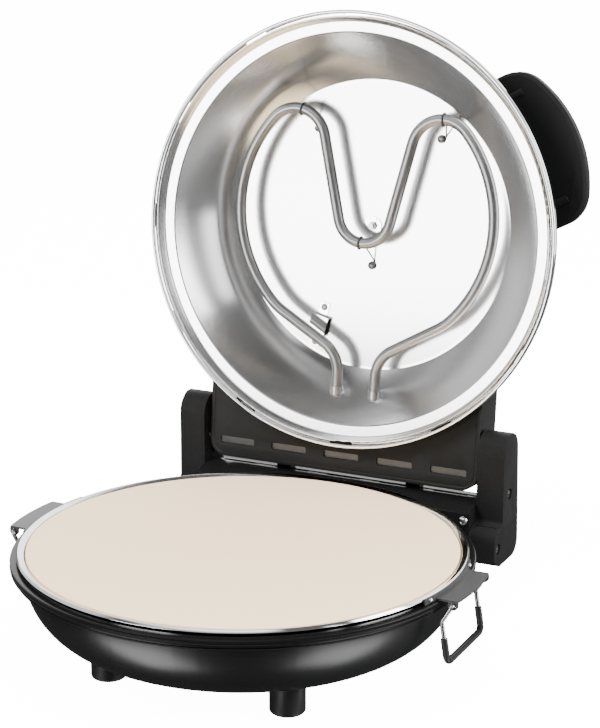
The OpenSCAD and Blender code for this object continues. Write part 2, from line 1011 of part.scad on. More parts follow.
module bail_sleeve() {
    on_axis()
        difference() {
            bent_rod(sleeve_points(sleeve_from), [0, 5.5, 5.5, 0], sleeve_d / 2);
            bent_rod(sleeve_points(sleeve_from - 0.1), [0, 5.5, 5.5, 0], wire_d / 2 + slip);
        }
}

module right_bail() {
    color("#d0d2d4")
    bail_wire();
}

module right_bail_sleeve() {
    color("#1a1a1b")
    bail_sleeve();
}

module left_bail() {
    color("#d0d2d4")
    mirror([1, 0, 0])
        bail_wire();
}

module left_bail_sleeve() {
    color("#1a1a1b")
    mirror([1, 0, 0])
        bail_sleeve();
}

// Lid

module dome_solid(inset) {
    intersection() {
        translate([crown_r, crown_z - lid_corner])
            circle(lid_corner - inset);
        translate([0, dome_z])
            square([dome_r + max(0, -inset), crown_z]);
    }
    translate([0, dome_z])
        square([crown_r, crown_z - dome_z - inset]);
    // the stepped foot that stands on the rim ring, clear of the reflector's lip
    translate([0, dome_z])
        square([dome_r - 0.4 - inset, 4 - max(inset, -seat)]);
    polygon([
        [0, crown_z - inset - eps],
        [crown_r - 4, crown_z - inset - eps],
        [crown_r - crown_edge, lid_h - inset],
        [0, lid_h - inset],
    ]);
}

module lid_dome() {
    color("#141415")
    in_lid()
        difference() {
            rotate_extrude()
                difference() {
                    dome_solid(0);
                    translate([0, -eps])
                        dome_solid(dome_t);
                }
            in_handle()
                for (s = [-1, 1])
                    translate([s * post_u, 0, post_z])
                        rotate([-90, 0, 0])
                            cylinder(h = 2 * lid_r, d = 4.2);
        }
}

module lid_rim_ring() {
    color("#d3d5d7")
    in_lid()
        difference() {
            rotate_extrude() {
                translate([lid_r - bead_r, 0])
                    circle(bead_r);
                translate([lid_r - bead_r - ring_t / 2, 0])
                    square([ring_t, dome_z]);
                translate([step_bead_r - step_bead, channel_h])
                    square([lid_r - bead_r - step_bead_r + step_bead, ring_t]);
                translate([step_bead_r - step_bead, step_bead - 0.1])
                    square([2 * step_bead, channel_h]);
                translate([step_bead_r, step_bead - 0.1])
                    circle(step_bead);
            }
            for (i = [0:rim_slots - 1])
                rotate([0, 0, i * 360 / rim_slots - 1])
                    translate([lid_r - bead_r - ring_t / 2 - 1.2, 0, channel_h - 1])
                        rotate([0, 0, 90])
                            slot(19, 2, 4);
        }
}

module reflector_profile(t) {
    polygon([
        [0, floor_h],
        [floor_r - 3, floor_h],
        [floor_r + 1.5, floor_h - 2],
        [step_r, step_h],
        [step_bead_r - step_bead - 2.3, step_h - 0.9],
        [step_bead_r - step_bead, 1.6],
        [step_bead_r - step_bead, 1.6 + t * 1.6],
        [step_bead_r - step_bead - 2.3 + t * 0.8, step_h - 0.9 + t],
        [step_r + t * 0.5, step_h + t],
        [floor_r + 1.5 + t, floor_h - 2 + t * 0.7],
        [floor_r - 3 + t * 0.4, floor_h + t],
        [0, floor_h + t],
    ]);
}

module lid_reflector() {
    color("#b6b9bb")
    in_lid()
        difference() {
            rotate_extrude()
                reflector_profile(reflector_t);
            for (s = [-1, 1])
                translate([s * terminal_x, element_r, element_h])
                    rotate([-90, 0, 0])
                        cylinder(h = terminal_v - element_r, r = collar_r + slip);
            front_up(floor_h - 1) {
                cylinder(h = 4, d = 4.4);
                for (c = clip_at)
                    translate(c[2])
                        cylinder(h = 4, d = 3.1);
                translate(tb_at)
                    rotate([0, 0, tb_turn])
                        for (u = [-1, 1])
                            translate([0, u * tb_reach, 0])
                                cylinder(h = 4, d = 3.1);
            }
        }
}

module half_element() {
    arc_tube([0, ring_v], element_r, shoulder_a1, lobe_a, tube_r);
    arc_bend([lobe_x, lobe_v], lobe_r, lobe_a, tangent_a, tube_r);
    arc_bend(shoulder_c, shoulder_r, shoulder_a0, shoulder_a1, tube_r);
    arc_bend(leg_c, leg_r, 180 + shoulder_a0, 180, tube_r);
    rod([lobe_x + lobe_r * cos(tangent_a), lobe_v + lobe_r * sin(tangent_a), 0],
        [dip_r * cos(tangent_a - 180), dip_v + dip_r * sin(tangent_a - 180), 0], tube_r);
    rod([shoulder_end[0], shoulder_end[1], 0],
        [leg_c[0] + leg_r * cos(180 + shoulder_a0), leg_c[1] + leg_r * sin(180 + shoulder_a0), 0], tube_r);
    rod([terminal_x, leg_c[1], 0], [terminal_x, -terminal_v, 0], tube_r);
}

module upper_element() {
    color("#77787a")
    in_lid()
        front_up(element_h) {
            arc_bend([0, dip_v], dip_r, -tangent_a, tangent_a - 180, tube_r);
            for (s = [0, 1])
                mirror([s, 0, 0])
                    half_element();
        }
}

module upper_terminal_bushings() {
    collar_l = 6;
    color("#c6c8ca")
    in_lid()
        for (s = [-1, 1])
            translate([s * terminal_x, wall_r(element_h) - collar_l / 2, element_h])
                rotate([-90, 0, 0])
                    difference() {
                        cylinder(h = collar_l, r = collar_r);
                        translate([0, 0, -eps])
                            cylinder(h = collar_l + 1, r = tube_r + slip);
                    }
}

// A ring of wire round the tube, whose tail runs to the floor and hooks round the screw
module wire_clip(at, turn, screw) {
    grip = tube_r + clip_wire / 2 + slip;
    turn_r = 2.2;
    away = [screw[0] - at[0], screw[1] - at[1]] / norm([screw[0] - at[0], screw[1] - at[1]]);
    aside = [away[1], -away[0]];
    low = floor_h - element_h - clip_wire / 2 - 0.1;
    function by_screw(d, back) = [
        screw[0] + d * turn_r * aside[0] - back * away[0],
        screw[1] + d * turn_r * aside[1] - back * away[1],
        low,
    ];
    translate([at[0], at[1], 0])
        rotate([0, 0, turn])
            rotate([0, 90, 0])
                rotate_extrude()
                    translate([grip, 0])
                        circle(clip_wire / 2 + weld_step);
    bent_rod([[at[0], at[1], grip], by_screw(-1, 4), by_screw(-1, -turn_r), by_screw(1, -turn_r), by_screw(1, 2)],
        [0, 1.2, 1.8, 1.8, 0], clip_wire / 2);
}

module upper_element_clips() {
    color("#8c8e90")
    in_lid()
        front_up(element_h)
            for (c = clip_at)
                wire_clip(c[0], c[1], c[2]);
}

module clip_screws() {
    color("#b0b2b4")
    in_lid()
        front_up(floor_h - clip_wire - 0.15)
            for (c = clip_at)
                translate(c[2])
                    mirror([0, 0, 1])
                        pan_screw(6.4, 2.8, 6);
}

module center_washer() {
    color("#d8dadc")
    in_lid()
        front_up(floor_h - 1)
            difference() {
                cylinder(h = 1, d = 14.5);
                translate([0, 0, -1])
                    cylinder(h = 3, d = 4.4);
                for (a = [60, 110, 250, 300])
                    rotate([0, 0, a])
                        translate([5.6, 0, -1])
                            slot(2, 0.7, 3);
            }
}

module center_nut() {
    color("#8f9193")
    in_lid()
        front_up(floor_h - 1) {
            translate([0, 0, -2.4])
                cylinder(h = 2.4, d = 6.6, $fn = 6);
            translate([0, 0, -4.4])
                cylinder(h = 12, d = 4);
        }
}

module thermostat_bracket() {
    strap_w = 14.5;
    strap_l = 15.2;
    tab_w = 8;
    tab_l = tb_reach + 3.6 - strap_l / 2;
    fold_t = 0.8;
    fold_h = 5;
    color("#d5d7d9")
    in_lid()
        front_up(floor_h)
            translate(tb_at)
                rotate([0, 0, tb_turn])
                    difference() {
                        mirror([0, 0, 1])
                            for (s = [0, 1])
                                mirror([0, s, 0]) {
                                    translate([-tab_w / 2, strap_l / 2 - fold_t, 0])
                                        cube([tab_w, tab_l + fold_t, fold_t]);
                                    translate([-strap_w / 2, strap_l / 2 - fold_t, 0])
                                        cube([strap_w, fold_t, fold_h]);
                                    translate([-strap_w / 2, -eps, fold_h - fold_t])
                                        cube([strap_w, strap_l / 2 + eps, fold_t]);
                                }
                        for (u = [-1, 1])
                            translate([0, u * tb_reach, -2])
                                cylinder(h = 4, d = 3);
                    }
}

module lid_thermostat() {
    color("#3f4042")
    in_lid()
        front_up(floor_h + reflector_t)
            translate(tb_at) {
                cylinder(h = 5, d = 15);
                translate([-8, -3, 5])
                    cube([16, 6, 4]);
            }
}

module thermostat_screws() {
    color("#b0b2b4")
    in_lid()
        front_up(floor_h - 0.85)
            translate(tb_at)
                rotate([0, 0, tb_turn])
                    for (u = [-1, 1])
                        translate([0, u * tb_reach, 0])
                            mirror([0, 0, 1])
                                pan_screw(5.4, 2.8, 4);
}

// Hinge housing on the back of the lid

// Plan outline with rounded rear corners
module housing_plan(inset) {
    w = hinge_w - inset;
    y1 = housing_y1 - inset;
    r = housing_corner - inset;
    translate([-w, housing_y0])
        square([2 * w, y1 - r - housing_y0]);
    translate([-w + r, housing_y0])
        square([2 * (w - r), y1 - housing_y0]);
    for (s = [-1, 1])
        translate([s * (w - r), y1 - r])
            circle(r);
}

// Side outline with a round upper edge
module housing_side(inset) {
    top_round = 10;
    translate([housing_y0, housing_z0])
        square([housing_y1 - housing_y0 - inset, housing_z1 - housing_z0 - top_round]);
    translate([housing_y0, housing_z0])
        square([housing_y1 - housing_y0 - top_round, housing_z1 - housing_z0 - inset]);
    translate([housing_y1 - top_round, housing_z1 - top_round])
        circle(top_round - inset);
}

module dome_room(grow) {
    rotate_extrude()
        dome_solid(-seat - grow);
    cylinder(h = dome_z + eps, r = lid_r + seat + grow);
}

module housing_body(inset) {
    intersection() {
        translate([0, 0, housing_z0])
            linear_extrude(housing_z1)
                housing_plan(inset);
        across(hinge_w)
            housing_side(inset);
    }
}

module lid_hinge_housing() {
    color("#161617")
    in_lid()
        difference() {
            housing_body(0);
            difference() {
                translate([0, 0, -eps])
                    housing_body(housing_t);
                dome_room(housing_t);
            }
            dome_room(0);
            translate([0, hinge_y, hinge_h])
                rotate([0, 90, 0])
                    cylinder(h = 3 * hinge_w, d = pin_d + 2 * run, center = true);
        }
}

module lid_vent_panel() {
    color("#1a1a1b")
    in_lid()
        difference() {
            translate([0, 0, housing_z0])
                linear_extrude(panel_t)
                    difference() {
                        housing_plan(panel_inset + 0.2);
                        circle(dome_flank(housing_z0, -seat) + housing_t + 0.3);
                    }
            for (i = [0:vent_n - 1])
                translate([(i - (vent_n - 1) / 2) * vent_pitch, vent_y, housing_z0 - 1])
                    rounded_slot(vent_l, vent_h, vent_corner, panel_t + 2);
        }
}

module hinge_plate() {
    plate_w = hinge_w - vent_side + vent_l / 2 + plate_t;
    plate_l = vent_h + 3.3;
    fin_w = 20;
    color("#a9abad")
    in_lid()
        translate([0, vent_y - plate_l / 2 - 0.5, housing_z0 + panel_t]) {
            translate([-plate_w, 0, 0])
                cube([2 * plate_w, plate_l, plate_t]);
            for (s = [-1, 1])
                translate([s * hinge_w / 2 - fin_w / 2, 0, 0])
                    cube([fin_w, plate_t, housing_z1 - housing_t - housing_z0 - panel_t - 1]);
        }
}

// Handle

// Local frame of the handle: +Y runs outwards through its middle
module in_handle() {
    rotate([0, 0, 180 + handle_angle])
        children();
}

module handle_outline(inset) {
    corner_u = handle_w - handle_corner;
    corner_w = handle_r - handle_arc + sqrt(pow(handle_arc - handle_corner, 2) - pow(corner_u, 2));
    arc_u = corner_u * handle_arc / (handle_arc - handle_corner);
    hull() {
        intersection() {
            translate([0, handle_r - handle_arc])
                circle(handle_arc - inset, $fn = 128);
            translate([-arc_u, corner_w])
                square([2 * arc_u, handle_arc]);
        }
        for (s = [-1, 1])
            translate([s * corner_u, corner_w])
                circle(handle_corner - inset, $fn = 48);
        translate([-handle_w + inset, handle_in])
            square([2 * (handle_w - inset), 10]);
    }
}

module lid_handle() {
    edge = 2.5;
    color("#1b1b1c")
    in_lid()
        in_handle()
            difference() {
                hull() {
                    translate([0, 0, handle_z + edge])
                        linear_extrude(handle_t - 2 * edge)
                            handle_outline(0);
                    translate([0, 0, handle_z])
                        linear_extrude(handle_t)
                            handle_outline(edge);
                }
                dome_room(0);
                for (s = [-1, 1])
                    translate([s * post_u, 0, post_z])
                        rotate([-90, 0, 0])
                            cylinder(h = post_w + slip, r = post_r + slip);
            }
}

module handle_posts() {
    color("#242425")
    in_lid()
        in_handle()
            difference() {
                for (s = [-1, 1])
                    translate([s * post_u, post_from, post_z])
                        rotate([-90, 0, 0])
                            cylinder(h = post_w - post_from, r = post_r);
                dome_room(0);
                for (s = [-1, 1])
                    translate([s * post_u, post_from, post_z])
                        rotate([-90, 0, 0])
                            cylinder(h = post_w - post_from - 4, d = 4);
            }
}

module handle_screws() {
    color("#9b9da0")
    in_lid()
        in_handle()
            for (s = [-1, 1])
                translate([s * post_u, sqrt(pow(dome_flank(post_z, dome_t) - 0.6, 2) - pow(post_u, 2)) - 3, post_z])
                    rotate([90, 0, 0])
                        pan_screw(7.5, 3.9, 9, false);
}

base_bowl();
rim_band();
base_reflector();
lower_element();
lower_element_clips();
lower_terminal_bushings();
base_thermostat();
feet();
foot_screws();
rear_housing();
rear_housing_cover();
terminal_block();
cord_gland();
housing_screws();
left_hinge_arm();
right_hinge_arm();
left_arm_plate();
right_arm_plate();
arm_screws();
hinge_pins();
lid_stops();
stone_pan();
baking_stone();
left_bail_bracket();
right_bail_bracket();
bracket_screws();
lid_dome();
lid_rim_ring();
lid_reflector();
upper_element();
upper_terminal_bushings();
upper_element_clips();
clip_screws();
center_washer();
center_nut();
thermostat_bracket();
lid_thermostat();
thermostat_screws();
lid_hinge_housing();
lid_vent_panel();
hinge_plate();
lid_handle();
handle_posts();
handle_screws();
left_bail();
left_bail_sleeve();
right_bail();
right_bail_sleeve();
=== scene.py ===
"""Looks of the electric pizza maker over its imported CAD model.

Every CAD node gets its finish, the turned sheet metal is made again, the mouldings get rounded edges,
and a plain studio with a camera is set up round the object.
"""

import json
import math

import bmesh
import bpy
from mathutils import Matrix, Vector


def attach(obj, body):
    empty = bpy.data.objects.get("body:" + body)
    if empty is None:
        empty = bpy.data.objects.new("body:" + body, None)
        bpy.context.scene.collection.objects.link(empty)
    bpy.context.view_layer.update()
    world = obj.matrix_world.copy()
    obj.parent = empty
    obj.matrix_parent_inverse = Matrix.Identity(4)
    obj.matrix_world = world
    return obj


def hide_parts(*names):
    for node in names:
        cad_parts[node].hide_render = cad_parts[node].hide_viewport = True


MM = 0.001

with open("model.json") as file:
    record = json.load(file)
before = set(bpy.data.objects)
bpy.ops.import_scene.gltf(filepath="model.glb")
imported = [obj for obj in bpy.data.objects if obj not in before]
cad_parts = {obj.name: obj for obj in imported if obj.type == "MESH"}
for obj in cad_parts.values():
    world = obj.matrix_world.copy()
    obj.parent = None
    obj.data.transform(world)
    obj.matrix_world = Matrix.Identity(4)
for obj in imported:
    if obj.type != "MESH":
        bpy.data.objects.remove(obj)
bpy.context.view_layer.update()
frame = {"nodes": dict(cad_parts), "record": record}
nodes = frame["nodes"]
bodies = frame["record"]["behaviour"]["bodies"]
slot_of = {row["node"]: row["material_slot"] for row in frame["record"]["subparts"]}
body_of = {name: body for body, names in bodies.items() for name in names}

# Where the parts stand, in millimetres, and the lid's opening in degrees
COOK_Y = -47.0
HINGE_BACK = 174.8
RIM_Z = 86.7
HINGE_Z = 102.4
LID_OPEN = 96.0

# From millimetres about the cooking axis to the object's place: upright on the base, and in the open lid
BASE = Matrix.Scale(MM, 4) @ Matrix.Translation((0, COOK_Y, 0))
LID = (
    BASE
    @ Matrix.Translation((0, HINGE_BACK, HINGE_Z))
    @ Matrix.Rotation(math.radians(-LID_OPEN), 4, "X")
    @ Matrix.Translation((0, -HINGE_BACK, RIM_Z - HINGE_Z))
)


def mm(x, y, z):
    """A point given in millimetres, in metres."""
    return Vector((x, y, z)) * MM


def add_object(name, data):
    """A new object in the scene for a mesh, a lamp or a camera."""
    made = bpy.data.objects.new(name, data)
    bpy.context.scene.collection.objects.link(made)
    return made


def add_form(name, form):
    """A new object in the scene whose mesh is the finished form."""
    mesh = bpy.data.meshes.new(name)
    form.to_mesh(mesh)
    form.free()
    return add_object(name, mesh)


# Camera: angles in degrees, distance, lens and sensor in millimetres, nearest and furthest in metres

CAMERA_AZIMUTH = 24.95
CAMERA_ELEVATION = 16.03
CAMERA_ROLL = 0.13
CAMERA_DISTANCE = 1650.78
CAMERA_TARGET = mm(44.4, COOK_Y, 225.62)
CAMERA_LENS = 118.14
CAMERA_SENSOR = 36
CAMERA_NEAREST = 0.05
CAMERA_FURTHEST = 20


def place_camera():
    """The camera on a line through its target, turned about that line by the roll."""
    azimuth, elevation, roll = map(math.radians, (CAMERA_AZIMUTH, CAMERA_ELEVATION, CAMERA_ROLL))
    back = Vector(
        (
            math.sin(azimuth) * math.cos(elevation),
            -math.cos(azimuth) * math.cos(elevation),
            math.sin(elevation),
        )
    )
    across = Vector((math.cos(azimuth), math.sin(azimuth), 0))
    up = back.cross(across)
    turned_across = across * math.cos(roll) + up * math.sin(roll)
    turned_up = up * math.cos(roll) - across * math.sin(roll)
    data = bpy.data.cameras.new("camera")
    data.lens = CAMERA_LENS
    data.sensor_width = CAMERA_SENSOR
    data.clip_start = CAMERA_NEAREST
    data.clip_end = CAMERA_FURTHEST
    camera = add_object("camera", data)
    turn = Matrix((turned_across, turned_up, back)).transposed().to_4x4()
    camera.matrix_world = Matrix.Translation(CAMERA_TARGET + back * CAMERA_DISTANCE * MM) @ turn
    bpy.context.scene.camera = camera


place_camera()

# Shader graphs


class Value:
    """A shader socket that takes part in Python sums."""

    def __init__(self, graph, socket):
        self.graph = graph
        self.socket = socket

    def __add__(self, other):
        return self.graph.calculate("ADD", self, other)

    def __sub__(self, other):
        return self.graph.calculate("SUBTRACT", self, other)

    def __rsub__(self, other):
        return self.graph.calculate("SUBTRACT", other, self)

    def __mul__(self, other):
        return self.graph.calculate("MULTIPLY", self, other)

    __radd__ = __add__
    __rmul__ = __mul__


class Graph:
    """A node tree that is built from named nodes and from sums of their sockets."""

    def __init__(self, tree):
        self.tree = tree

    def node(self, kind, settings, inputs, output=0):
        """One node with its settings and its sockets' values or links, as the value of one output."""
        made = self.tree.nodes.new(kind)
        for key, value in settings.items():
            setattr(made, key, value)
        for key, value in inputs.items():
            self.join(made.inputs[key], value)
        return Value(self, made.outputs[output])

    def join(self, socket, value):
        """Links a value to the socket, or sets the socket to a number, a vector or a colour."""
        if isinstance(value, Value):
            self.tree.links.new(value.socket, socket)
        elif isinstance(value, float | int):
            socket.default_value = value
        else:
            wanted = len(socket.default_value)
            socket.default_value = (*value, 1.0)[:wanted]

    def calculate(self, operation, *terms):
        return self.node("ShaderNodeMath", {"operation": operation}, dict(enumerate(terms)))

    def smooth_step(self, value, start, end, low, high):
        """A value that goes softly from low to high as another goes from start to end."""
        return self.node(
            "ShaderNodeMapRange",
            {"interpolation_type": "SMOOTHSTEP"},
            {"Value": value, "From Min": start, "From Max": end, "To Min": low, "To Max": high},
        )

    def mix(self, factor, low, high):
        """A colour between two colours."""
        return self.node("ShaderNodeMix", {"data_type": "RGBA"}, {0: factor, 6: low, 7: high}, 2)


class Finish(Graph):
    """One material with a principled surface whose patterns follow Object coordinates."""

    def __init__(self, name, color, metallic, roughness, **constants):
        self.material = bpy.data.materials.new(name)
        self.material.use_nodes = True
        super().__init__(self.material.node_tree)
        self.shader = self.tree.nodes["Principled BSDF"]
        self.set("Base Color", color)
        self.set("Metallic", metallic)
        self.set("Roughness", roughness)
        for key, value in constants.items():
            self.set(key.replace("_", " ").title().replace("Ior", "IOR"), value)
        self.place = self.node("ShaderNodeTexCoord", {}, {}, "Object")

    def set(self, name, value):
        self.join(self.shader.inputs[name], value)

    def noise(self, scale, detail, roughness=0.5):
        """A cloudy pattern from 0 to 1 with about as many spots to the metre as its scale."""
        return self.node(
            "ShaderNodeTexNoise",
            {"noise_dimensions": "3D"},
            {"Vector": self.place, "Scale": scale, "Detail": detail, "Roughness": roughness},
        )

    def bump(self, height, strength, distance):
        raised = {"Height": height, "Strength": strength, "Distance": distance}
        self.set("Normal", self.node("ShaderNodeBump", {}, raised))


# Finishes


def black_enamel():
    finish = Finish("black_enamel", (0.008, 0.008, 0.0085), metallic=0.0, roughness=0.3)
    cloud = finish.noise(scale=9.0, detail=3.0)
    orange_peel = finish.noise(scale=500.0, detail=2.0)
    finish.set("Base Color", finish.mix(cloud, (0.004, 0.004, 0.0045), (0.008, 0.008, 0.0085)))
    finish.set("Roughness", cloud * 0.06 + 0.25)
    finish.bump(orange_peel, strength=0.05, distance=0.0003)
    return finish.material


def black_moulding(name, level, roughness, grain, depth, shine):
    """A dark coat or moulding: grey level, roughness, fineness and depth of its grain, and its shine."""
    finish = Finish(name, (level,) * 3, metallic=0.0, roughness=roughness, specular_ior_level=shine)
    cloud = finish.noise(scale=14.0, detail=3.0)
    texture = finish.noise(scale=grain, detail=3.0, roughness=0.7)
    finish.set("Base Color", finish.mix(cloud, (level * 0.8,) * 3, (level * 1.25,) * 3))
    finish.set("Roughness", roughness - 0.03 + cloud * 0.08)
    finish.bump(texture, strength=depth, distance=0.0004)
    return finish.material


def bright_metal():
    finish = Finish("bright_metal", (0.88, 0.885, 0.89), metallic=1.0, roughness=0.08)
    smear = finish.noise(scale=25.0, detail=4.0)
    finish.set("Roughness", smear * 0.06 + 0.04)
    finish.set("Base Color", finish.mix(smear, (0.84, 0.845, 0.85), (0.92, 0.92, 0.92)))
    return finish.material


def plain_steel(name, level, roughness):
    """Bare steel of a grey level, with the faint grain of drawn or rolled metal."""
    finish = Finish(name, (level,) * 3, metallic=1.0, roughness=roughness)
    drawn = finish.noise(scale=300.0, detail=3.0)
    cloud = finish.noise(scale=20.0, detail=3.0)
    finish.set("Base Color", finish.mix(cloud, (level * 0.85,) * 3, (level * 1.1,) * 3))
    finish.set("Roughness", roughness - 0.05 + drawn * 0.12)
    finish.bump(drawn, strength=0.05, distance=0.0002)
    return finish.material


def reflector_metal():
    finish = Finish("reflector_metal", (0.86, 0.865, 0.87), metallic=1.0, roughness=0.17)
    cloud = finish.noise(scale=6.0, detail=3.0)
    grain = finish.noise(scale=1400.0, detail=2.0)
    finish.set("Base Color", finish.mix(cloud, (0.82, 0.825, 0.83), (0.9, 0.9, 0.9)))
    finish.set("Roughness", cloud * 0.05 + grain * 0.02 + 0.15)
    finish.bump(grain, strength=0.01, distance=0.0001)
    return finish.material


def element_sheath():
    finish = Finish("element_sheath", (0.34, 0.34, 0.345), metallic=1.0, roughness=0.4)
    cloud = finish.noise(scale=45.0, detail=4.0)
    pits = finish.noise(scale=1500.0, detail=2.0)
    finish.set("Base Color", finish.mix(cloud, (0.28, 0.28, 0.285), (0.42, 0.42, 0.425)))
    finish.set("Roughness", cloud * 0.14 + 0.32)
    finish.bump(pits, strength=0.1, distance=0.0002)
    return finish.material


def baking_stone():
    middle = (0.87, 0.67, 0.43)
    finish = Finish("baking_stone", middle, metallic=0.0, roughness=0.7, specular_ior_level=0.2)
    cloud = finish.noise(scale=7.0, detail=4.0)
    speckle = finish.noise(scale=1100.0, detail=2.0)
    tone = finish.mix(cloud, (0.845, 0.645, 0.41), (0.895, 0.69, 0.45))
    finish.set("Base Color", finish.mix(speckle * 0.25, tone, (0.74, 0.57, 0.38)))
    finish.set("Roughness", cloud * 0.1 + 0.64)
    finish.bump(speckle, strength=0.08, distance=0.0002)
    return finish.material


def ceramic():
    finish = Finish("ceramic", (0.8, 0.78, 0.72), metallic=0.0, roughness=0.5)
    grain = finish.noise(scale=600.0, detail=2.0)
    finish.set("Base Color", finish.mix(grain, (0.74, 0.72, 0.66), (0.84, 0.82, 0.77)))
    finish.bump(grain, strength=0.1, distance=0.0002)
    return finish.material


FINISHES = {
    "black_enamel": black_enamel(),
    "black_gloss_plastic": black_moulding("black_gloss_plastic", 0.012, 0.26, 1200.0, 0.03, 0.07),
    "black_matte_plastic": black_moulding("black_matte_plastic", 0.01, 0.45, 1600.0, 0.15, 0.06),
    "reflector_metal": reflector_metal(),
    "bright_metal": bright_metal(),
    "plain_steel": plain_steel("plain_steel", 0.55, 0.28),
    "element_sheath": element_sheath(),
    "dark_steel": black_moulding("dark_steel", 0.032, 0.3, 900.0, 0.06, 0.25),
    "baking_stone": baking_stone(),
    "ceramic": ceramic(),
    "rubber": black_moulding("rubber", 0.008, 0.4, 1100.0, 0.08, 0.15),
    "bail_sleeve": black_moulding("bail_sleeve", 0.01, 0.35, 1000.0, 0.06, 0.3),
}

# Nodes whose metal or moulding differs from the rest of their slot
OWN_FINISHES = {
    "hinge_plate": plain_steel("hinge_plate", 0.085, 0.5),
    "upper_element_clips": plain_steel("wire_clips", 0.16, 0.35),
    "clip_screws": plain_steel("clip_screws", 0.25, 0.35),
    "left_bail": plain_steel("left_bail", 0.6, 0.2),
    "right_bail": plain_steel("right_bail", 0.6, 0.2),
    "lid_vent_panel": black_moulding("vent_panel", 0.016, 0.45, 1500.0, 0.1, 0.04),
    "lid_handle": black_moulding("handle_moulding", 0.008, 0.4, 1400.0, 0.1, 0.06),
    "rear_housing": black_moulding("housing_moulding", 0.006, 0.22, 1200.0, 0.02, 0.15),
    "rim_band": black_moulding("band_enamel", 0.004, 0.22, 900.0, 0.01, 0.14),
}


def dress(piece, name):
    """Gives a piece the finish of the node that it is or stands for."""
    piece.data.materials.clear()
    piece.data.materials.append(OWN_FINISHES.get(name) or FINISHES[slot_of[name]])


for name, node in nodes.items():
    dress(node, name)

# Pieces that stand for a CAD node: lengths in millimetres, angles in degrees

SAME_POINT = 0.002
FLAT_ANGLE = 0.1
SHARP_CORNER = 28.0
SHARP_FOLD = 32.0
TURN_STEPS = 320
CORNER_SEGMENTS = 6
SHEET = 0.8


def stand_for(name, form):
    """Turns the form into an object that takes the node's place, its finish and its body."""
    piece = add_form(name + "_dressed", form)
    dress(piece, name)
    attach(piece, body_of[name])
    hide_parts(name)
    return piece


def softened(name, radius, segments=3, reshape=None):
    """A copy of a CAD node with rounded edges, after a change of its corners if one is given."""
    form = bmesh.new()
    form.from_mesh(nodes[name].data)
    bmesh.ops.remove_doubles(form, verts=form.verts, dist=SAME_POINT * MM)
    if reshape:
        reshape(form)
    flat = math.radians(FLAT_ANGLE)
    bmesh.ops.dissolve_limit(form, angle_limit=flat, verts=form.verts, edges=form.edges)
    for face in form.faces:
        face.smooth = True
    bevel = stand_for(name, form).modifiers.new("edges", "BEVEL")
    bevel.width = radius * MM
    bevel.segments = segments
    bevel.limit_method = "ANGLE"
    bevel.angle_limit = math.radians(SHARP_CORNER)
    bevel.use_clamp_overlap = True
    bevel.harden_normals = True


def turned(name, profile, place, closed=False):
    """A node made again as a turning about its axis from (radius, height, corner radius) points.

    A profile that isn't closed starts and ends on the axis.
    """
    form = bmesh.new()
    corners = [form.verts.new((r, 0, z)) for r, z, _ in profile]
    count = len(corners)
    for i in range(count if closed else count - 1):
        form.edges.new((corners[i], corners[(i + 1) % count]))
    for corner, (_, _, rounding) in zip(corners, profile, strict=True):
        if rounding:
            bmesh.ops.bevel(
                form,
                geom=[corner],
                offset=rounding,
                offset_type="OFFSET",
                segments=CORNER_SEGMENTS,
                profile=0.5,
                affect="VERTICES",
                material=-1,
            )
    bmesh.ops.spin(
        form,
        geom=form.verts[:] + form.edges[:],
        cent=(0, 0, 0),
        axis=(0, 0, 1),
        angle=2 * math.pi,
        steps=TURN_STEPS,
        use_merge=True,
    )
    bmesh.ops.remove_doubles(form, verts=form.verts, dist=SAME_POINT)
    bmesh.ops.recalc_face_normals(form, faces=form.faces)
    for face in form.faces:
        face.smooth = True
    for edge in form.edges:
        edge.smooth = len(edge.link_faces) < 2 or edge.calc_face_angle(0) < math.radians(SHARP_FOLD)
    bmesh.ops.transform(form, matrix=place, verts=form.verts)
    stand_for(name, form)


def bulged(start, end, sag, steps=24):
    """Points of a slightly rounded line from start to end, both left out."""
    (r0, z0), (r1, z1) = start, end
    run = math.hypot(r1 - r0, z1 - z0)
    across = (z1 - z0) / run, (r0 - r1) / run
    points = []
    for i in range(1, steps):
        part = i / steps
        out = sag * 4 * part * (1 - part)
        r = r0 + (r1 - r0) * part + across[0] * out
        z = z0 + (z1 - z0) * part + across[1] * out
        points.append((r, z, 0))
    return points


def lid_reflector():
    """Dish of thin sheet: floor, bulged wall, flange and turned-down edge, then back outside."""
    floor = 52.5
    floor_edge, wall_foot = (113.2, 52.4), (149.8, 7.6)
    flange_end = 6.95
    edge_end = 1.6
    bulge = 2.2
    turned(
        "lid_reflector",
        [
            (0, floor, 0),
            (111.0, floor, 0),
            (112.2, floor, 0),
            (*floor_edge, 0),
            *bulged(floor_edge, wall_foot, -bulge),
            (*wall_foot, 0),
            (150.6, 7.2, 0),
            (151.2, 7.18, 0),
            (157.6, 6.98, 0),
            (158.6, flange_end, 0.8),
            (160.9, edge_end, 0),
            (160.9, edge_end + 1.6 * SHEET, 0),
            (159.3, flange_end + SHEET, 0.8),
            (150.9, 7.2 + SHEET, 0),
            *bulged((150.6, 7.6 + SHEET), (114.0, 52.4 + SHEET), bulge),
            (113.0, floor + SHEET, 0),
            (0, floor + SHEET, 0),
        ],
        LID,
    )


def stone_pan():
    """Flat pan under the stone, with a wall round it and a lip rolled outwards and down."""
    under = 74.45
    turned(
        "stone_pan",
        [
            (0, under, 0),
            (156.4, under, 0.6),
            (156.5, 83.5, 0.9),
            (160.2, 84.5, 0.3),
            (160.6, 83.8, 0.3),
            (161.5, 83.8, 0.3),
            (161.6, 84.3, 0.3),
            (160.35, 86.25, 0.3),
            (159.7, 86.0, 0.3),
            (155.8, 84.4, 0.7),
            (155.6, under + SHEET, 0.4),
            (0, under + SHEET, 0),
        ],
        BASE,
    )


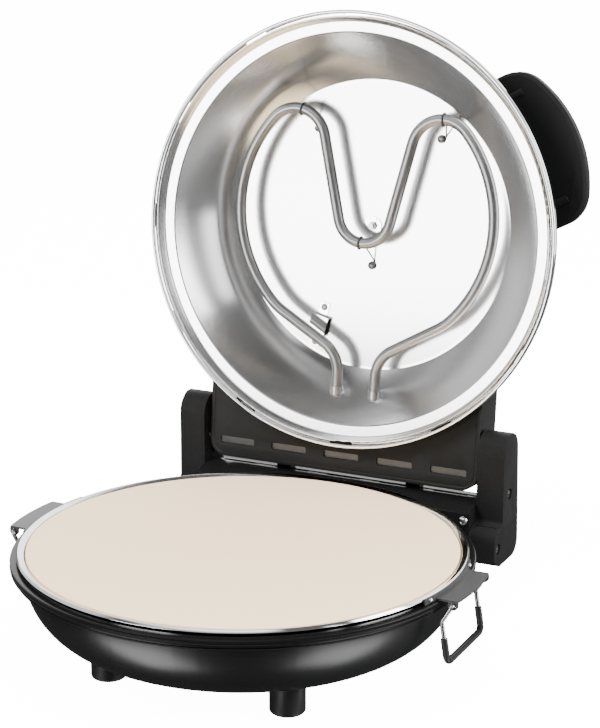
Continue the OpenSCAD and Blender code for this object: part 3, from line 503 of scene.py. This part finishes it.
def rim_band():
    """Band that grips the bowl's rim, with a fine groove round its outside."""
    inside, outside = 158.9, 166.28
    bottom, top = 74.4, 81.0
    turned(
        "rim_band",
        [
            (inside, bottom, 0),
            (160.1, bottom, 0),
            (160.1, 79.8, 0.3),
            (165.1, 79.8, 0.3),
            (165.1, 75.5, 0),
            (166.1, 75.5, 0.4),
            (outside, 77.4, 0.2),
            (165.8, 77.9, 0.2),
            (outside, 78.4, 0.2),
            (outside, top, 1.1),
            (inside, top, 0.4),
        ],
        BASE,
        closed=True,
    )


def stone():
    """Flat disc with worn edges."""
    radius = 155.0
    under, over = 75.25, 85.25
    profile = [(0, under, 0), (radius, under, 0.4), (radius, over, 0.9), (0, over, 0)]
    turned("baking_stone", profile, BASE)


SLOTS_Y = 175.8
SLOTS_REACH = 4.0
SLOTS_OPEN = 0.8


def narrow_slots(form):
    """Draws the vent panel's slots in to the height that their turned edges leave open."""
    back = LID.inverted()
    for corner in form.verts:
        place = back @ corner.co
        away = place.y - SLOTS_Y
        if abs(away) < SLOTS_REACH:
            corner.co = LID @ Vector((place.x, SLOTS_Y + away * SLOTS_OPEN, place.z))


lid_reflector()
stone_pan()
rim_band()
stone()
softened("left_hinge_arm", 1.4)
softened("right_hinge_arm", 1.4)
softened("lid_handle", 1.2)
softened("rear_housing", 0.7)
softened("lid_hinge_housing", 0.8)
softened("lid_vent_panel", 0.3, segments=2, reshape=narrow_slots)
softened("feet", 0.5, segments=2)

# Studio

# The room between the boxes: it brightens from below up to eye level and darkens overhead, by the height
# in degrees
ROOM_HEIGHTS = (-20, 0)
ROOM_LEVELS = (0.04, 0.16)
OVERHEAD_HEIGHTS = (45, 75)
OVERHEAD_LOSS = (0.0, 0.08)

# Soft boxes as seen from the object: turn from the front towards the right and height, both from-to in
# degrees, then how soft the edges are and how bright the box is
SOFT_BOXES = [
    ((-38, -10), (-15, 7), 5, 12.0),
    ((-58, -14), (-64, -32), 7, 6.5),
    ((87, 116), (-10, 38), 2.5, 10.0),
    ((70, 76), (-5, 36), 2.5, 3.8),
    ((66, 112), (-60, -32), 7, 6.5),
    ((-125, -50), (-5, 38), 8, 0.8),
    ((-30, 14), (25, 37), 6, 0.7),
    ((120, 240), (0, 50), 16, 3.0),
    ((-75, 45), (42, 64), 7, 2.5),
]

# Lamps for the matt surfaces: place, point that each aims at and width in metres, power in watts
LAMPS = {
    "key": ((-0.9, -1.3, 1.5), (0, -0.05, 0.15), 0.9, 66),
    "top": ((0.3, -0.5, 1.9), (0, -0.05, 0.1), 0.8, 38),
    "side": ((1.7, 0.15, 0.7), (0, -0.05, 0.15), 0.6, 52),
}

# The floor, half its width in metres
FLOOR_REACH = 6
FLOOR_GLOW = 14.0

# The shading card, a flat ring: radius of its hole in metres, the outside so many times wider, height in
# millimetres
CARD_SIDES = 96
CARD_HOLE = 0.182
CARD_SPREAD = 6
CARD_Z = 66
CARD_GLOW = 0.14


def surroundings():
    """The world's light by direction: the room and the soft boxes that the metal mirrors."""
    world = bpy.data.worlds.new("studio")
    bpy.context.scene.world = world
    world.use_nodes = True
    sky = Graph(world.node_tree)
    way = sky.node("ShaderNodeTexCoord", {}, {}, "Generated")
    x, y, z = (sky.node("ShaderNodeSeparateXYZ", {}, {0: way}, axis) for axis in range(3))
    turn = sky.calculate("ARCTAN2", x, 0 - y) * math.degrees(1)
    height = sky.calculate("ARCSINE", z) * math.degrees(1)
    light = sky.smooth_step(height, *ROOM_HEIGHTS, *ROOM_LEVELS)
    light = light - sky.smooth_step(height, *OVERHEAD_HEIGHTS, *OVERHEAD_LOSS)
    for turns, (bottom, top), soft, brightness in SOFT_BOXES:
        wrapped = sky.calculate("WRAP", turn - sum(turns) / 2, 180, -180)
        aside = sky.calculate("ABSOLUTE", wrapped)
        half = (turns[1] - turns[0]) / 2
        box = sky.smooth_step(aside, half - soft, half + soft, 1.0, 0.0)
        box = box * sky.smooth_step(height, bottom - soft, bottom + soft, 0.0, 1.0)
        box = box * sky.smooth_step(height, top - soft, top + soft, 1.0, 0.0)
        light = light + box * brightness
    background = world.node_tree.nodes["Background"]
    sky.join(background.inputs[0], (1, 1, 1))
    sky.join(background.inputs[1], light)


def area_light(name, place, aim, size, power):
    """A lamp that lights matt surfaces evenly and is not mirrored in the metal."""
    lamp = bpy.data.lights.new(name, "AREA")
    lamp.shape = "DISK"
    lamp.size = size
    lamp.energy = power
    holder = add_object(name, lamp)
    holder.location = place
    holder.rotation_euler = (Vector(place) - Vector(aim)).to_track_quat("Z", "Y").to_euler()
    holder.visible_camera = False
    holder.visible_glossy = False


def glowing_scenery(name, form, color, glow, unseen_by):
    """A staged sheet that glows evenly and that the named kinds of ray don't meet."""
    sheet = add_form(name, form)
    paper = Finish(name, color, 0.0, 1.0, emission_color=(1, 1, 1), emission_strength=glow)
    sheet.data.materials.append(paper.material)
    for rays in unseen_by:
        setattr(sheet, "visible_" + rays, False)
    return sheet


def pale_floor():
    form = bmesh.new()
    bmesh.ops.create_grid(form, x_segments=1, y_segments=1, size=FLOOR_REACH)
    glowing_scenery("floor", form, (0.8, 0.8, 0.8), FLOOR_GLOW, ("diffuse", "glossy", "shadow"))


def shading_card():
    """A grey card round the base that only the mirrored parts of the raised lid see."""
    form = bmesh.new()
    bmesh.ops.create_circle(form, segments=CARD_SIDES, radius=CARD_HOLE)
    bmesh.ops.extrude_edge_only(form, edges=form.edges[:])
    bmesh.ops.scale(form, vec=(CARD_SPREAD, CARD_SPREAD, 1), verts=form.verts[CARD_SIDES:])
    unseen_by = ("camera", "diffuse", "shadow", "transmission")
    card = glowing_scenery("card", form, (0.0, 0.0, 0.0), CARD_GLOW, unseen_by)
    card.location = mm(0, COOK_Y, CARD_Z)


surroundings()
pale_floor()
shading_card()
for name, (place, aim, size, power) in LAMPS.items():
    area_light(name, place, aim, size, power)
